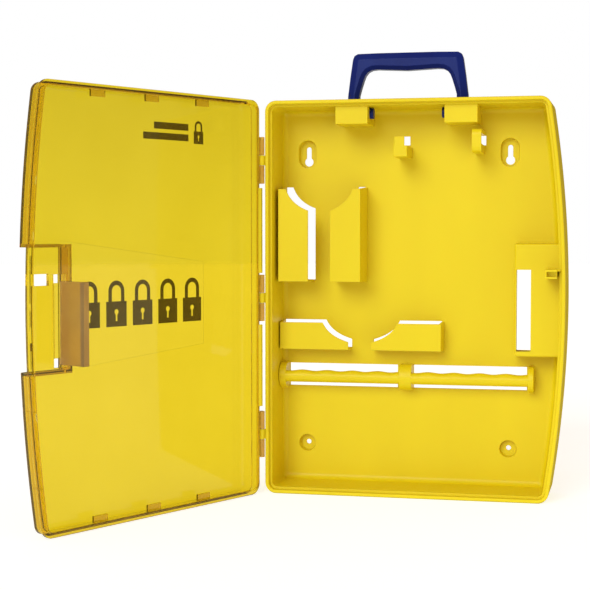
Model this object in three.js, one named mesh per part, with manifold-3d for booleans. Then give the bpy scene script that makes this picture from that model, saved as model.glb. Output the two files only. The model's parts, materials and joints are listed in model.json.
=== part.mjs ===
// Portable lockout station: a wall-mounted moulded case for safety padlocks, tags and hasps.
// A yellow rear tray, a clear amber door on three hinges and a blue carry handle.
//
// Millimetres, +Z up. The tray opens towards -Y and its back plane faces +Y. The origin is the
// centre of the flat face that the tray stands on. Inside the station group, X runs from the
// hinge-side edge, Y is the depth behind the tray's rim, and Z is the height above the base.

import * as THREE from 'three';
import { mergeVertices } from 'three/addons/utils/BufferGeometryUtils.js';
import Module from 'manifold-3d';

const wasm = await Module();
wasm.setup();

// ---- driving dimensions ----

const CASE_HEIGHT = 395;
const CASE_WIDTH = 281;          // hinge-side edge to the free side's corners
const SIDE_BULGE = 16;           // how far the free side bows outward at mid height
const CORNER_RADIUS = 11;
const MIN_CORNER = 3;            // inner outlines keep at least this corner radius
const FREE_SIDE_DRAFT = 1.8;     // how much wider the tray is at its back than at its rim
const TRAY_DEPTH = 65;
const FLOOR_DEPTH = 55;
const FLOOR_THICKNESS = 2.5;
const RIM_LIP = 3.6;             // width of the tray's front lip
const LEDGE_DEPTH = 6;           // the lip steps down to a narrow ledge
const TRAY_WALL = 6;
const SKIRT = 3.2;               // wall behind the floor
const GAP = 0.3;                 // clearance between neighbouring solids
const SKIN = 2.4;                // wall thickness of the moulded features

const DOOR_DEPTH = 16;
const DOOR_SKIN = 2.6;
const DOOR_LIP_GAP = 0.5;        // rim plane to the closed door's lip plane
const DOOR_RIM = 5;              // lip width on three sides
const DOOR_HINGE_RIM = 12;       // lip width on the hinge side
const DOOR_FLANGE = 2;           // how far the lip stands outside the door's wall
const DOOR_EDGE_BEVEL = 3.5;
const DOOR_OPEN_ANGLE = 117.7;   // degrees from closed

const HINGE_OFFSET = 3.1;        // hinge axis to the tray's edge
const HINGE_CENTRES = [335.5, 197.7, 60];
const KNUCKLE_RADIUS = 2.75;
const CENTRE_KNUCKLE = 10;
const DOOR_KNUCKLE = 18;
const PIN_RADIUS = 1.5;

const FIXING_X = [32.5, 239.9];
const KEYHOLE = {
  height: 344, entryRadius: 4.5, entryDrop: 7.7, slotRadius: 2.55, slotLength: 10, slotRise: 0.2,
};
const KEYHOLE_CUP = { radius: 9.1, straight: 9.9 };
const SCREW = { height: 44.3, radius: 2.5 };
const SCREW_CUP = { radius: 8.5, straight: 0.02 };

// Openings through the floor where the mould's core makes the inside of each feature.
const RAIL_WINDOWS = [
  { left: 14.4, right: 127.2, bottom: 104.2, top: 127.6 },
  { left: 143.8, right: 258.3, bottom: 104.2, top: 127.8 },
];
const HOOK_WINDOW = { left: 129, right: 139.2, bottom: 352, top: 361 };
const LOOP_WINDOW = { left: 206, right: 216, bottom: 351.1, top: 360.7 };

const UPPER_POCKET = {
  left: 9.7, right: 40.4, bottom: 213.8, top: 307.2, shoulder: 285.4, flat: 17.4, front: 17, rise: 3.6,
};
const LOWER_POCKET = {
  left: 8, right: 79, bottom: 143.9, top: 171.2, shoulder: 151.6, flat: 52.5, front: 33, rise: 1.5,
};
const UPPER_MIRROR = 51.8;
const LOWER_MIRROR = 90.8;

const HOOK = { left: 127.7, right: 141.5, bottom: 338.5, top: 349.6, front: 12 };
const HOOK_TIP = { left: 128.7, right: 138.7, top: 358.5 };
const TAG_LOOP = {
  left: 205.4, right: 214.7, bottom: 342, eyeBottom: 350.6, eyeTop: 361, top: 365.2, front: 10,
};

const LATCH_BOX = { left: 246.9, right: 288.8, bottom: 141, top: 252.3, front: 25, side: 1.8 };
const LATCH_SLOT = { left: 248.9, right: 262.9, bottom: 146, top: 226.8 };
const RECESS = { left: 250, bottom: 144.5, top: 251.5 };
const STAPLE = {
  left: 277.8, right: 288.6, bottom: 219.4, top: 227.6, tip: -12.5, web: 2.2, lower: 2.5, upper: 3, eye: 3.4,
};
const STAPLE_WINDOW = { left: 273.6, right: 289.4, bottom: 218.8, top: 228.8 };
const BLADE_SLOT = { left: 254.2, right: 268, bottom: 147.4, top: 228.2 };
const BLADE = { left: 254.6, right: 261, bottom: 149.8, top: 222, tip: 29.5 };
const WEB = { left: 260, right: 267.7, bottom: 155.6, top: 220.7, thickness: 1.6 };
const BARB = { reach: 2.5, height: 1.6 };

const CATCH_X = [79.2, 146.1, 213];
const CATCH = { half: 8.6, reach: 11, root: 4, front: 4.5, back: 2.5 };
const HINGE_STRIPS = [[222.8, 308], [88.3, 170.8]];
const STRIP = { left: -4.6, right: 0.5, thickness: 2.5 };

const HANDLE_CENTRE = 140.5;
const HANDLE_DEPTH = 27;         // depth of the pivot axis behind the rim
const HANDLE_PIVOT = 382.5;
const HANDLE_TOP = 442;
const HANDLE_BAR = { depth: 18, bevel: 2.6 };
const LEG_CENTRE = 54.3;         // handle centre to the middle of each foot
const LEG_TOP = 399.5;           // where each leg leaves the case
const LEG_HALF = 5.4;
const NECK = { depth: 7, foot: 3, top: 402.5 };
const HUB_RADIUS = 6.4;
const TRUNNION = { radius: 5.4, length: 15, overlap: 0.4 };
const SOCKET = { half: 16.2, front: 9, bottom: 371.3, bore: 5.9 };
const LEG_SLOT = { half: 7, depth: 13 };

const RAIL = { height: 116, front: 32, radius: 6.4, postRadius: 13.2 };
const RAIL_POSTS = { left: [6.8, 13.9], centre: [130.8, 143.7], right: [260.1, 266] };
const SCALLOP = { pitch: 26, depth: 1.6, first: 16.5, steps: 36 };

// ---- materials ----

const yellowPlastic = { color: 0xf2d22c, roughness: 0.42, metalness: 0 };
const amberPlastic = { color: 0xd9b325, roughness: 0.12, metalness: 0, transparent: true, opacity: 0.55 };
const bluePlastic = { color: 0x213c86, roughness: 0.38, metalness: 0 };
const pinSteel = { color: 0xb9bcc0, roughness: 0.3, metalness: 0.9 };

// ---- solids ----

function solidFrom(geometry) {
  const bare = geometry.index ? geometry.toNonIndexed() : geometry.clone();
  bare.deleteAttribute('normal');
  bare.deleteAttribute('uv');
  const merged = mergeVertices(bare, 1e-4);
  const vertProperties = Float32Array.from(merged.attributes.position.array);
  const triVerts = Uint32Array.from(merged.index.array);
  return new wasm.Manifold(new wasm.Mesh({ numProp: 3, vertProperties, triVerts }));
}

function geometryFrom(solid) {
  const mesh = solid.getMesh();
  const geometry = new THREE.BufferGeometry();
  geometry.setAttribute('position', new THREE.BufferAttribute(mesh.vertProperties, 3));
  geometry.setIndex(new THREE.BufferAttribute(mesh.triVerts, 1));
  geometry.computeVertexNormals();
  return geometry;
}

function block(x0, x1, y0, y1, z0, z1) {
  const box = new THREE.BoxGeometry(x1 - x0, y1 - y0, z1 - z0);
  return solidFrom(box.translate((x0 + x1) / 2, (y0 + y1) / 2, (z0 + z1) / 2));
}

// A front-view outline (x, height) given thickness from depth y0 to depth y1.
function slab(outline, y0, y1, segments = 6) {
  const options = { depth: y1 - y0, bevelEnabled: false, curveSegments: segments };
  const geometry = new THREE.ExtrudeGeometry(outline, options);
  return solidFrom(geometry.rotateX(Math.PI / 2).translate(0, y1, 0));
}

// A front-view rectangle with named edges, given thickness from depth y0 to depth y1.
function panel(edges, y0, y1, margin = 0) {
  const { left, right, bottom, top } = edges;
  return block(left - margin, right + margin, y0, y1, bottom - margin, top + margin);
}

// A side-view outline (depth, height) given thickness from x0 to x1.
function sideSlab(outline, x0, x1, segments = 8) {
  const options = { depth: x1 - x0, bevelEnabled: false, curveSegments: segments };
  const geometry = new THREE.ExtrudeGeometry(outline, options);
  const turn = new THREE.Matrix4().makeBasis(
    new THREE.Vector3(0, 1, 0), new THREE.Vector3(0, 0, 1), new THREE.Vector3(1, 0, 0));
  return solidFrom(geometry.applyMatrix4(turn).translate(x0, 0, 0));
}

function rod(axis, radius, start, length, sides = 20) {
  const cylinder = new THREE.CylinderGeometry(radius, radius, length, sides);
  if (axis === 'x') {
    cylinder.rotateZ(-Math.PI / 2).translate(length / 2, 0, 0);
  } else if (axis === 'z') {
    cylinder.rotateX(Math.PI / 2).translate(0, 0, length / 2);
  } else {
    cylinder.translate(0, length / 2, 0);
  }
  return solidFrom(cylinder.translate(...start));
}

function polygon(points) {
  return new THREE.Shape(points.map(([x, y]) => new THREE.Vector2(x, y)));
}

// An upright slot with round ends, centred on (x, z).
function stadium(x, z, radius, straight) {
  const shape = new THREE.Shape();
  shape.absarc(x, z + straight / 2, radius, 0, Math.PI, false);
  shape.absarc(x, z - straight / 2, radius, Math.PI, 2 * Math.PI, false);
  return shape;
}

// ---- the case outline that the tray and the door share ----

const arcRadius = ((CASE_HEIGHT / 2) ** 2 + SIDE_BULGE ** 2) / (2 * SIDE_BULGE);
const arcCentre = CASE_WIDTH + SIDE_BULGE - arcRadius;

function caseOutline(inset, hingeInset = inset) {
  const middle = CASE_HEIGHT / 2;
  const corner = Math.max(CORNER_RADIUS - inset, MIN_CORNER);
  const bulge = arcRadius - inset;
  const top = CASE_HEIGHT - inset;
  const left = hingeInset + corner;
  const right = arcCentre + Math.sqrt((bulge - corner) ** 2 - (top - corner - middle) ** 2);
  const turn = Math.atan2(top - corner - middle, right - arcCentre);
  const shape = new THREE.Shape();
  shape.moveTo(left, inset);
  shape.absarc(right, inset + corner, corner, -Math.PI / 2, -turn, false);
  shape.absarc(arcCentre, middle, bulge, -turn, turn, false);
  shape.absarc(right, top - corner, corner, turn, Math.PI / 2, false);
  shape.absarc(left, top - corner, corner, Math.PI / 2, Math.PI, false);
  shape.absarc(left, inset + corner, corner, Math.PI, 1.5 * Math.PI, false);
  return shape;
}

// ---- rear tray ----

// Front-view outline of a pocket plate: a rectangle with one corner scooped away in a curve.
function pocketOutline(p, grow, rise) {
  const lean = 0.22 * (p.right - p.flat);
  const dip = 0.3 * (p.top - p.shoulder);
  const shape = new THREE.Shape();
  shape.moveTo(p.left - grow, p.bottom - grow);
  shape.lineTo(p.right + grow, p.bottom - grow);
  shape.lineTo(p.right + grow, p.shoulder + rise);
  shape.quadraticCurveTo(p.flat + lean, p.shoulder + dip + rise, p.flat, p.top + rise);
  shape.lineTo(p.left - grow, p.top + rise);
  return shape;
}

function mirrorPocket(solid, plane) {
  const turn = new THREE.Matrix4().makeScale(-1, 1, 1).setPosition(2 * plane, 0, 0);
  return solid.transform(turn.elements);
}

function pocketHole(p) {
  const inner = { ...p, left: p.left + SKIN, bottom: p.bottom + SKIN };
  return slab(pocketOutline(inner, 0.4, p.rise), FLOOR_DEPTH - 1, TRAY_DEPTH, 6);
}

function keyhole(x) {
  const { height, entryRadius, entryDrop, slotRadius, slotLength, slotRise } = KEYHOLE;
  const entry = rod('y', entryRadius, [x, FLOOR_DEPTH, height - entryDrop], 20);
  const slot = slab(stadium(x, height + slotRise, slotRadius, slotLength), FLOOR_DEPTH, TRAY_DEPTH + 1);
  return entry.add(slot);
}

function fixingCup(x, z, { radius, straight }, hole) {
  const cupFloor = TRAY_DEPTH - SKIN;
  return {
    cup: slab(stadium(x, z, radius + SKIN, straight), FLOOR_DEPTH + 1, TRAY_DEPTH),
    hollow: slab(stadium(x, z, radius, straight), FLOOR_DEPTH - 1, cupFloor).add(hole),
  };
}

// The solid block that the tray is cut from. Its bowed side leans out towards the back.
function trayBlank() {
  const options = { depth: TRAY_DEPTH, bevelEnabled: false, curveSegments: 10 };
  const geometry = new THREE.ExtrudeGeometry(caseOutline(0), options);
  geometry.rotateX(Math.PI / 2).translate(0, TRAY_DEPTH, 0);
  const points = geometry.attributes.position;
  for (let i = 0; i < points.count; i += 1) {
    if (points.getX(i) > CASE_WIDTH / 2) {
      points.setX(i, points.getX(i) + (FREE_SIDE_DRAFT * points.getY(i)) / TRAY_DEPTH);
    }
  }
  return solidFrom(geometry);
}

const latchWindow = {
  left: LATCH_BOX.left + SKIN,
  right: LATCH_SLOT.right + 1,
  bottom: LATCH_SLOT.bottom - 1,
  top: LATCH_SLOT.top + 1,
};

const legCentres = [HANDLE_CENTRE - LEG_CENTRE, HANDLE_CENTRE + LEG_CENTRE];

function rearTray() {
  let tray = trayBlank();
  tray = tray.subtract(slab(caseOutline(RIM_LIP), -1, LEDGE_DEPTH, 10));
  tray = tray.subtract(slab(caseOutline(TRAY_WALL), -1, FLOOR_DEPTH, 10));
  tray = tray.subtract(slab(caseOutline(SKIRT), FLOOR_DEPTH + FLOOR_THICKNESS, TRAY_DEPTH + 1, 10));

  const cups = FIXING_X.flatMap((x) => [
    fixingCup(x, KEYHOLE.height, KEYHOLE_CUP, keyhole(x)),
    fixingCup(x, SCREW.height, SCREW_CUP, rod('y', SCREW.radius, [x, FLOOR_DEPTH, SCREW.height], 20, 16)),
  ]);
  for (const { cup, hollow } of cups) {
    tray = tray.add(cup).subtract(hollow);
  }

  const openings = [
    pocketHole(UPPER_POCKET),
    mirrorPocket(pocketHole(UPPER_POCKET), UPPER_MIRROR),
    pocketHole(LOWER_POCKET),
    mirrorPocket(pocketHole(LOWER_POCKET), LOWER_MIRROR),
    ...[...RAIL_WINDOWS, HOOK_WINDOW, LOOP_WINDOW, latchWindow].map((edges) => (
      panel(edges, FLOOR_DEPTH - 1, TRAY_DEPTH))),
    ...legCentres.map((x) => block(
      x - LEG_SLOT.half, x + LEG_SLOT.half, HANDLE_DEPTH - LEG_SLOT.depth, HANDLE_DEPTH + LEG_SLOT.depth,
      CASE_HEIGHT - TRAY_WALL - 1, CASE_HEIGHT + 1)),
  ];
  return openings.reduce((solid, opening) => solid.subtract(opening), tray);
}

// ---- storage features that stand on the tray's floor ----

const featureBack = FLOOR_DEPTH - GAP;

// Front plate, outer side wall and bottom wall, open at the top and at the inner side.
function pocket(p) {
  const plate = slab(pocketOutline(p, 0, 0), p.front, p.front + SKIN);
  const side = block(p.left, p.left + SKIN, p.front + 1, featureBack, p.bottom, p.top);
  const base = block(p.left, p.right, p.front + 1, featureBack, p.bottom, p.bottom + SKIN);
  return plate.add(side).add(base);
}

// A J-shaped hook: a square arm with an upturned tip.
function toolHook() {
  const arm = panel(HOOK, HOOK.front, featureBack);
  const tip = panel({ ...HOOK_TIP, bottom: HOOK.top - 0.6 }, HOOK.front, HOOK.front + SKIN);
  return arm.add(tip);
}

// A bridge that a tag tie or key chain threads through.
function tagLoop() {
  const { eyeBottom, eyeTop, front } = TAG_LOOP;
  const strip = panel(TAG_LOOP, front, front + SKIN);
  const lower = panel({ ...TAG_LOOP, top: eyeBottom }, front + 1, featureBack);
  const upper = panel({ ...TAG_LOOP, bottom: eyeTop }, front + 1, featureBack);
  return strip.add(lower).add(upper);
}

const railDepth = RAIL.front + RAIL.radius;

// A round bar whose top is scalloped, so that each padlock keeps its own place.
function railBar(x0, x1) {
  const { pitch, depth, first, steps } = SCALLOP;
  const below = RAIL.height - RAIL.radius - 1;
  const crest = RAIL.height + RAIL.radius - 0.1;
  const outline = [[x0, below], [x1, below]];
  for (let i = steps; i >= 0; i -= 1) {
    const x = x0 + (i / steps) * (x1 - x0);
    const wave = 0.5 - 0.5 * Math.cos((2 * Math.PI * (x - x0 - first)) / pitch);
    outline.push([x, crest - depth * wave]);
  }
  const sheet = slab(polygon(outline), railDepth - RAIL.radius - 1, railDepth + RAIL.radius + 1);
  return rod('x', RAIL.radius, [x0, railDepth, RAIL.height], x1 - x0, 24).intersect(sheet);
}

// A U-shaped post that holds the bars off the floor.
function railPost([x0, x1]) {
  const bend = RAIL.front + RAIL.postRadius;
  const outline = new THREE.Shape();
  outline.moveTo(featureBack, RAIL.height - RAIL.postRadius);
  outline.lineTo(featureBack, RAIL.height + RAIL.postRadius);
  outline.absarc(bend, RAIL.height, RAIL.postRadius, Math.PI / 2, 1.5 * Math.PI, false);
  return sideSlab(outline, x0, x1, 10);
}

// A box under the top wall that the handle's foot turns in, open upwards and at the back.
function handleSocket(side) {
  const { half, front, bottom, bore } = SOCKET;
  const centre = HANDLE_CENTRE + side * LEG_CENTRE;
  const [x0, x1] = [centre - half, centre + half];
  const top = CASE_HEIGHT - TRAY_WALL - GAP;
  const shell = block(x0, x1, front, featureBack, bottom, top);
  const hollow = block(x0 + SKIN, x1 - SKIN, front + SKIN, featureBack + 1, bottom + SKIN, top + 1);
  const inward = side < 0 ? x1 - SKIN - 1 : x0 - 1;
  const bearing = rod('x', bore, [inward, HANDLE_DEPTH, HANDLE_PIVOT], SKIN + 2, 28);
  const mouth = block(
    inward, inward + SKIN + 2, HANDLE_DEPTH - bore, HANDLE_DEPTH + bore, HANDLE_PIVOT, top + 1);
  return shell.subtract(hollow).subtract(bearing).subtract(mouth);
}

function latchBox() {
  const { left, right, bottom, top, front, side } = LATCH_BOX;
  const shell = panel(LATCH_BOX, front, featureBack);
  const hollow = block(left + side, right + 1, front + SKIN, featureBack + 1, bottom + SKIN, top - SKIN);
  const slot = panel(LATCH_SLOT, front - 1, front + SKIN + 1);
  return shell.subtract(hollow).subtract(slot);
}

// A channel-shaped eye that comes through the closed door, so that a padlock can seal the case.
function padlockStaple() {
  const { left, right, bottom, top, tip, web, lower, upper, eye } = STAPLE;
  const back = LATCH_BOX.front - GAP;
  const channel = panel(STAPLE, tip, back)
    .subtract(block(left + web, right + 1, tip - 1, back + 1, bottom + lower, top - upper));
  const middle = (left + web + right) / 2;
  const hole = rod('z', eye, [middle - 0.2, tip + eye + 1.9, bottom - 1], top - bottom + 2, 16);
  return channel.subtract(hole);
}

// ---- carry handle ----

// Octagonal section bar: width across, depth front to back.
function facetedLoop(outer, inner, depth, bevel) {
  const shape = polygon([...outer, ...inner]);
  const options = {
    depth: depth - 2 * bevel, bevelEnabled: true, bevelSize: bevel, bevelThickness: bevel,
    bevelSegments: 1, bevelOffset: -bevel, curveSegments: 4,
  };
  const geometry = new THREE.ExtrudeGeometry(shape, options);
  return solidFrom(geometry.rotateX(Math.PI / 2).translate(0, depth / 2 - bevel, 0));
}

// The grip's outer and inner edges, from the left leg over to the right one.
function handleEdges() {
  const outerHalf = [
    [-LEG_CENTRE - 5.6, LEG_TOP], [-57.6, 418], [-54.4, 435.5], [-52.2, 439.8], [-49, HANDLE_TOP - 0.6],
    [-30, HANDLE_TOP],
  ];
  const innerHalf = [
    [-LEG_CENTRE + 5.3, LEG_TOP], [-47, 406.5], [-44, 416], [-41.2, 421.7], [-36.5, 425.2], [-30, 425.8],
  ];
  const other = (half) => half.map(([x, z]) => [-x, z]).reverse();
  const outer = [...outerHalf, ...other(outerHalf)];
  const inner = [...innerHalf, [0, 424.4], ...other(innerHalf)].reverse();
  return { outer, inner };
}

function carryHandle() {
  const { outer, inner } = handleEdges();
  let handle = facetedLoop(outer, inner, HANDLE_BAR.depth, HANDLE_BAR.bevel);
  for (const side of [-1, 1]) {
    const centre = side * LEG_CENTRE;
    const [left, right] = [centre - LEG_HALF, centre + LEG_HALF];
    const neck = block(left, right, -NECK.depth, NECK.depth, HANDLE_PIVOT - NECK.foot, NECK.top);
    const hub = rod('x', HUB_RADIUS, [left, 0, HANDLE_PIVOT], 2 * LEG_HALF, 24);
    const start = side < 0 ? right - TRUNNION.overlap : left + TRUNNION.overlap - TRUNNION.length;
    const trunnion = rod('x', TRUNNION.radius, [start, 0, HANDLE_PIVOT], TRUNNION.length, 24);
    handle = handle.add(neck).add(hub).add(trunnion);
  }
  return handle.translate([HANDLE_CENTRE, HANDLE_DEPTH, 0]);
}

// ---- door, drawn closed: depth is negative in front of the tray's rim ----

const doorLip = -DOOR_LIP_GAP;
const doorFace = doorLip - DOOR_DEPTH;

// The door's wall inside its flange, with a bevel where it meets the front face.
function doorBody() {
  const outline = caseOutline(DOOR_FLANGE, DOOR_HINGE_RIM - 3);
  const bevel = DOOR_EDGE_BEVEL;
  const options = {
    depth: DOOR_DEPTH, bevelEnabled: true, bevelSize: bevel, bevelThickness: bevel,
    bevelOffset: -bevel, bevelSegments: 2, curveSegments: 10,
  };
  const geometry = new THREE.ExtrudeGeometry(outline, options);
  const body = solidFrom(geometry.rotateX(Math.PI / 2).translate(0, doorFace + bevel + DOOR_DEPTH, 0));
  return body.subtract(block(-20, CASE_WIDTH + 40, doorLip, doorLip + 60, -10, CASE_HEIGHT + 10));
}

// Small catches inside the top and bottom walls that hold a paper insert against the door.
function insertCatches() {
  const [front, back] = [doorLip - CATCH.front, doorLip - CATCH.back];
  const { half, reach, root } = CATCH;
  return CATCH_X.flatMap((x) => [
    block(x - half, x + half, front, back, CASE_HEIGHT - reach, CASE_HEIGHT - root),
    block(x - half, x + half, front, back, root, reach),
  ]);
}

function doorCover() {
  const free = CASE_WIDTH + 40;
  let door = slab(caseOutline(0), doorLip - 3, doorLip, 10).add(doorBody());
  door = door.subtract(slab(caseOutline(DOOR_RIM, DOOR_HINGE_RIM), doorFace + DOOR_SKIN, doorLip + 1, 10));

  // A thin rib that locates inside the tray's rim.
  const rib = slab(caseOutline(RIM_LIP + 0.4), doorLip - 1, doorLip + 2, 10)
    .subtract(slab(caseOutline(DOOR_RIM + 0.3), doorLip - 2, doorLip + 3, 10));
  door = door.add(rib);

  for (const tab of insertCatches()) {
    door = door.add(tab);
  }

  // The finger recess at the free edge: its floor lies in the lip plane.
  const { left, bottom, top } = RECESS;
  const around = panel({ left, right: free, bottom, top }, doorFace, doorLip, DOOR_SKIN)
    .intersect(slab(caseOutline(DOOR_FLANGE), doorFace, doorLip, 10));
  const cavity = block(left, free, doorFace - 1, doorLip - DOOR_SKIN, bottom, top);
  door = door.add(around).subtract(cavity);

  // Openings in the recess floor: the padlock staple's window and the latch blade's slot.
  for (const edges of [STAPLE_WINDOW, BLADE_SLOT]) {
    door = door.subtract(panel(edges, doorFace, doorLip + 3));
  }

  // Filler strips in the hinge line, between the hinges.
  for (const [low, high] of HINGE_STRIPS) {
    door = door.add(block(STRIP.left, STRIP.right, doorLip - STRIP.thickness, doorLip, low, high));
  }
  return door;
}

// The latch: a thin web that flexes, and a stiff blade with a barb at its tip.
function latchBlade() {
  const web = panel(WEB, doorLip - WEB.thickness, doorLip);
  const blade = panel(BLADE, doorLip - WEB.thickness, BLADE.tip);
  const root = BLADE.right - 0.5;
  const shoulder = BLADE.tip - BARB.height;
  const barb = polygon([
    [root, shoulder], [BLADE.right + BARB.reach, shoulder], [BLADE.right, BLADE.tip], [root, BLADE.tip],
  ]);
  const options = { depth: BLADE.top - BLADE.bottom, bevelEnabled: false };
  const geometry = new THREE.ExtrudeGeometry(barb, options).translate(0, 0, BLADE.bottom);
  return blade.add(web).add(solidFrom(geometry));
}

// ---- hinges: barrels on one axis, taken from the origin of the hinge group ----

function barrel(low, length, arm) {
  const tube = rod('z', KNUCKLE_RADIUS, [0, 0, low], length, 20);
  const bore = rod('z', PIN_RADIUS + 0.12, [0, 0, low - 1], length + 2, 20);
  return tube.add(arm).subtract(bore);
}

function trayKnuckle(z) {
  const half = CENTRE_KNUCKLE / 2;
  const arm = block(0, HINGE_OFFSET - GAP, 0.6, KNUCKLE_RADIUS - 0.1, z - half, z + half);
  return barrel(z - half, CENTRE_KNUCKLE, arm);
}

function doorKnuckle(z, side) {
  const near = z + side * (CENTRE_KNUCKLE / 2 + GAP);
  const low = Math.min(near, near + side * DOOR_KNUCKLE);
  const arm = block(0, HINGE_OFFSET - GAP, -KNUCKLE_RADIUS + 0.1, -0.6, low, low + DOOR_KNUCKLE);
  return barrel(low, DOOR_KNUCKLE, arm);
}

function hingePin(z) {
  const half = CENTRE_KNUCKLE / 2 + GAP + DOOR_KNUCKLE;
  return rod('z', PIN_RADIUS, [0, 0, z - half], 2 * half, 20);
}

// ---- assembly ----

function mesh(name, solid, finish) {
  const part = new THREE.Mesh(geometryFrom(solid), new THREE.MeshStandardMaterial(finish));
  part.name = name;
  return part;
}

const station = new THREE.Group();
station.position.set(-CASE_WIDTH / 2, -TRAY_DEPTH / 2, 0);

station.add(
  mesh('rear_tray', rearTray(), yellowPlastic),
  mesh('pocket_upper_left', pocket(UPPER_POCKET), yellowPlastic),
  mesh('pocket_upper_right', mirrorPocket(pocket(UPPER_POCKET), UPPER_MIRROR), yellowPlastic),
  mesh('pocket_lower_left', pocket(LOWER_POCKET), yellowPlastic),
  mesh('pocket_lower_right', mirrorPocket(pocket(LOWER_POCKET), LOWER_MIRROR), yellowPlastic),
  mesh('tool_hook', toolHook(), yellowPlastic),
  mesh('tag_loop', tagLoop(), yellowPlastic),
  mesh('rail_post_left', railPost(RAIL_POSTS.left), yellowPlastic),
  mesh('rail_bar_left', railBar(RAIL_POSTS.left[1] + GAP, RAIL_POSTS.centre[0] - GAP), yellowPlastic),
  mesh('rail_post_centre', railPost(RAIL_POSTS.centre), yellowPlastic),
  mesh('rail_bar_right', railBar(RAIL_POSTS.centre[1] + GAP, RAIL_POSTS.right[0] - GAP), yellowPlastic),
  mesh('rail_post_right', railPost(RAIL_POSTS.right), yellowPlastic),
  mesh('handle_socket_left', handleSocket(-1), yellowPlastic),
  mesh('handle_socket_right', handleSocket(1), yellowPlastic),
  mesh('latch_box', latchBox(), yellowPlastic),
  mesh('padlock_staple', padlockStaple(), yellowPlastic),
  mesh('carry_handle', carryHandle(), bluePlastic),
);

const hingeLine = new THREE.Group();
hingeLine.position.set(-HINGE_OFFSET, -DOOR_LIP_GAP / 2, 0);
station.add(hingeLine);

const doorSwing = new THREE.Group();
doorSwing.rotation.z = THREE.MathUtils.degToRad(-DOOR_OPEN_ANGLE);
hingeLine.add(doorSwing);

const doorParts = new THREE.Group();
doorParts.position.set(HINGE_OFFSET, DOOR_LIP_GAP / 2, 0);
doorParts.add(mesh('door_cover', doorCover(), amberPlastic), mesh('latch_blade', latchBlade(), amberPlastic));
doorSwing.add(doorParts);

['top', 'middle', 'bottom'].forEach((place, i) => {
  const z = HINGE_CENTRES[i];
  hingeLine.add(mesh(`tray_knuckle_${place}`, trayKnuckle(z), yellowPlastic));
  hingeLine.add(mesh(`hinge_pin_${place}`, hingePin(z), pinSteel));
  doorSwing.add(mesh(`door_knuckle_${place}_upper`, doorKnuckle(z, 1), amberPlastic));
  doorSwing.add(mesh(`door_knuckle_${place}_lower`, doorKnuckle(z, -1), amberPlastic));
});

const lockoutStation = new THREE.Group();
lockoutStation.add(station);

export default lockoutStation;
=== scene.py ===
"""A portable lockout station: yellow tray, clear amber door that stands open, blue carry handle.

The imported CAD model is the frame. Each CAD node is stood for by a finely made piece in the same place.
Shapes are drawn in millimetres in one of two spaces, which matrices carry into the row frame:
  STATION  x from the tray's hinge-side edge, depth behind the tray's rim, height above the base
  DOOR     the same directions for the door as it lies when closed, carried to where it stands open
"""

import json
import math

import bmesh
import bpy
from mathutils import Matrix, Vector


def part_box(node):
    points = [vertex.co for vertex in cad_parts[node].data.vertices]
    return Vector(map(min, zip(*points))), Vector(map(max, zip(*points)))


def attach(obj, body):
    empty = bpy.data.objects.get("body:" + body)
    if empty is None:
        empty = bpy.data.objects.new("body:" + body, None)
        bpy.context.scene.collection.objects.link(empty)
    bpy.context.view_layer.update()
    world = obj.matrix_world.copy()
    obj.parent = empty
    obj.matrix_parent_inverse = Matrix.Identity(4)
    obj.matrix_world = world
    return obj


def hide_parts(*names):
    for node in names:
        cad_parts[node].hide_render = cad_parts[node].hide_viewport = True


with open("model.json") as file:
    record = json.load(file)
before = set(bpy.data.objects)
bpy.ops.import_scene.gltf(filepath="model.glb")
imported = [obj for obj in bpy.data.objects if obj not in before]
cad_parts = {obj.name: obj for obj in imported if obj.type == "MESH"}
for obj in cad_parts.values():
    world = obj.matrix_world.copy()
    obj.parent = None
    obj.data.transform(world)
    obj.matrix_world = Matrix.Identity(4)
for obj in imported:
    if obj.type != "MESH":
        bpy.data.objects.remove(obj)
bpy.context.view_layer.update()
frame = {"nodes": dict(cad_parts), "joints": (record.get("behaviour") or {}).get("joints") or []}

MM = 0.001

# Tidying of finished meshes: the weld distance in millimetres, and the angle from which an edge is sharp
WELD = 0.002
SHARP_ANGLE = 35

# Where a colour Mix node keeps its two inputs and its result
MIX_A, MIX_B, MIX_RESULT = 6, 7, 2

# ---------------------------------------------------------------------------------------------
# Places, read from the frame
# ---------------------------------------------------------------------------------------------

joints = {joint["name"]: joint for joint in frame["joints"]}

STATION = Matrix.Translation(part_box("rear_tray")[0]) @ Matrix.Scale(MM, 4)


def turned_open():
    """Carries the closed door to where it stands at rest."""
    hinge = joints["door_hinge"]
    pivot = Matrix.Translation(hinge["pos_m"])
    angle = math.radians(-hinge["range_deg"][0])
    return pivot @ Matrix.Rotation(angle, 4, Vector(hinge["axis"])) @ pivot.inverted()


DOOR = turned_open() @ STATION


def extent(node, space=STATION):
    """A CAD node's lowest and highest corners in a space, in millimetres."""
    back = space.inverted()
    points = [back @ vertex.co for vertex in frame["nodes"][node].data.vertices]
    low = [min(point[k] for point in points) for k in range(3)]
    high = [max(point[k] for point in points) for k in range(3)]
    return low, high


_, tray_high = extent("rear_tray")
handle_pivot = STATION.inverted() @ Vector(joints["handle_pivot"]["pos_m"])
door_hinge = STATION.inverted() @ Vector(joints["door_hinge"]["pos_m"])

# ---------------------------------------------------------------------------------------------
# Driving dimensions, in millimetres
# ---------------------------------------------------------------------------------------------

# The case, which tray and door share
CASE_HEIGHT = tray_high[2]
TRAY_DEPTH = tray_high[1]
SIDE_BULGE = 16.0
FREE_SIDE_DRAFT = 1.8
CASE_WIDTH = tray_high[0] - SIDE_BULGE - FREE_SIDE_DRAFT
CORNER_RADIUS = 11.0
TIGHTEST_CORNER = 3.0
SKIN = 2.4

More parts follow.
